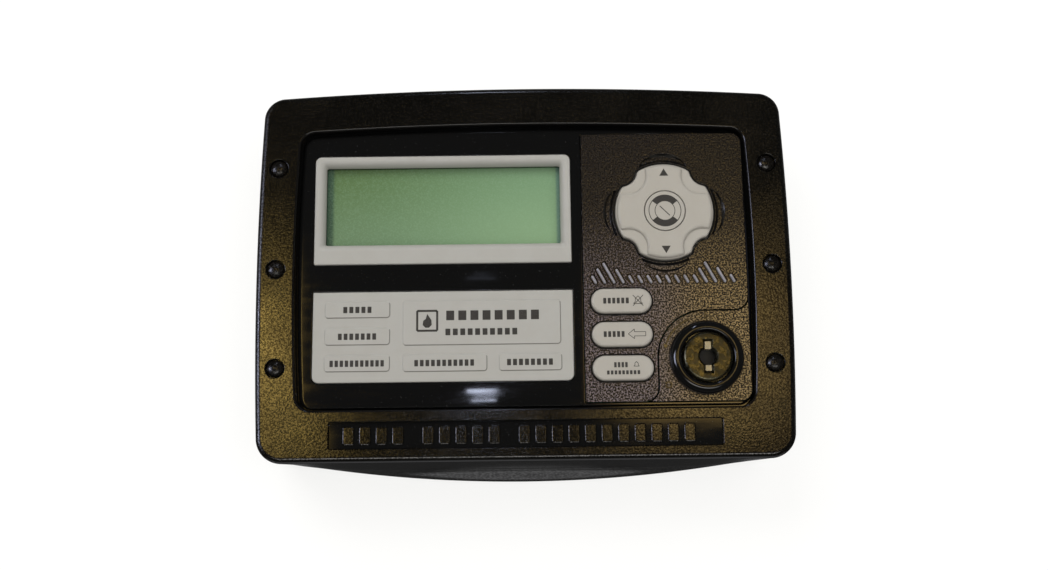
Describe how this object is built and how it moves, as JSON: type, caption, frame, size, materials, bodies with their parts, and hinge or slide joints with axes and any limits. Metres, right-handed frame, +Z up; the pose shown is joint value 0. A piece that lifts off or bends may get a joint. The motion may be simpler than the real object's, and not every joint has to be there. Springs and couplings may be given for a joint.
{
  "type": "fire alarm annunciator",
  "caption": "Wall-mounted remote fire alarm annunciator: shallow black box, swing-up cover, character display, lamp label panel, rocking pad, stadium keys and a key switch.",
  "frame": {"origin": "on the wall plane, at the centre of the flat back of the wall plate", "axes": "+X to the right as seen from the front, +Y into the wall, +Z up; the front faces -Y"},
  "size_m": [0.1776, 0.0376, 0.1366],
  "materials": {
    "housing_black": "fine textured black moulding with a warm sheen",
    "gloss_black": "polished black moulding",
    "panel_texture": "coarse grained brown-black moulding",
    "light_grey": "satin light grey moulding",
    "key_grey": "satin light grey moulding",
    "display_green": "green display cell with a satin polariser",
    "zinc_plate": "bright zinc plate",
    "circuit_green": "solder-masked glass fibre board",
    "plug_brass": "turned, dulled brass",
    "white_plastic": "plain white moulding",
    "black_plastic": "plain black moulding",
    "terminal_green": "plain green moulding",
    "lens_red": "clear tinted lens",
    "lens_amber": "clear tinted lens",
    "lens_green": "clear tinted lens",
    "backlight_white": "white diffuser"
  },
  "bodies": {
    "wall_plate": {"back_plate": "housing_black"},
    "cover": {"front_cover": "housing_black", "display_fascia": "gloss_black", "control_fascia": "panel_texture", "lock_plate": "panel_texture", "lcd_bezel": "light_grey", "label_panel": "light_grey", "light_box": "white_plastic", "alarm_lamp": "lens_red", "trouble_lamp": "lens_amber", "supervisory_lamp": "lens_amber", "silenced_lamp": "lens_amber", "power_lamp": "lens_green", "cover_plug_upper_left": "housing_black", "cover_plug_middle_left": "housing_black", "cover_plug_lower_left": "housing_black", "cover_plug_upper_right": "housing_black", "cover_plug_middle_right": "housing_black", "cover_plug_lower_right": "housing_black", "lcd_board": "circuit_green", "lcd_backlight": "backlight_white", "lcd_glass": "display_green", "lcd_frame": "zinc_plate", "display_spacer_1": "white_plastic", "display_spacer_2": "white_plastic", "display_spacer_3": "white_plastic", "display_spacer_4": "white_plastic", "display_header": "black_plastic", "main_board": "circuit_green", "controller_chip": "black_plastic", "board_screw_1": "zinc_plate", "board_screw_2": "zinc_plate", "board_screw_3": "zinc_plate", "board_screw_4": "zinc_plate", "power_terminals": "terminal_green", "data_terminals": "terminal_green", "piezo_sounder": "black_plastic", "silence_switch": "black_plastic", "reset_switch": "black_plastic", "drill_switch": "black_plastic", "acknowledge_switch": "black_plastic", "up_switch": "black_plastic", "down_switch": "black_plastic", "lock_ring": "gloss_black", "lock_body": "zinc_plate", "lock_nut": "zinc_plate", "contact_block": "black_plastic"},
    "silence_key": {"silence_key": "key_grey", "silence_stem": "white_plastic"},
    "reset_key": {"reset_key": "key_grey", "reset_stem": "white_plastic"},
    "drill_key": {"drill_key": "key_grey", "drill_stem": "white_plastic"},
    "acknowledge_button": {"acknowledge_button": "key_grey", "acknowledge_stem": "white_plastic"},
    "nav_pad": {"nav_pad": "key_grey"},
    "key_plug": {"key_plug": "plug_brass", "switch_rotor": "white_plastic"}
  },
  "joints": [
    {"name": "cover_swing", "type": "hinge", "parent": "wall_plate", "child": "cover", "pos_m": [0, -0.01475, 0.0658], "axis": [-1, 0, 0], "range_deg": [0, 60]},
    {"name": "silence_press", "type": "slide", "parent": "cover", "child": "silence_key", "axis": [0, 1, 0], "range_m": [0, 0.0006]},
    {"name": "reset_press", "type": "slide", "parent": "cover", "child": "reset_key", "axis": [0, 1, 0], "range_m": [0, 0.0006]},
    {"name": "drill_press", "type": "slide", "parent": "cover", "child": "drill_key", "axis": [0, 1, 0], "range_m": [0, 0.0006]},
    {"name": "acknowledge_press", "type": "slide", "parent": "cover", "child": "acknowledge_button", "axis": [0, 1, 0], "range_m": [0, 0.0006]},
    {"name": "pad_rock", "type": "hinge", "parent": "cover", "child": "nav_pad", "pos_m": [0.0473, -0.0315, 0.0202], "axis": [1, 0, 0], "range_deg": [-2.5, 2.5]},
    {"name": "key_turn", "type": "hinge", "parent": "cover", "child": "key_plug", "pos_m": [0.0595, -0.03, -0.0289], "axis": [0, -1, 0], "range_deg": [0, 90]}
  ]
}
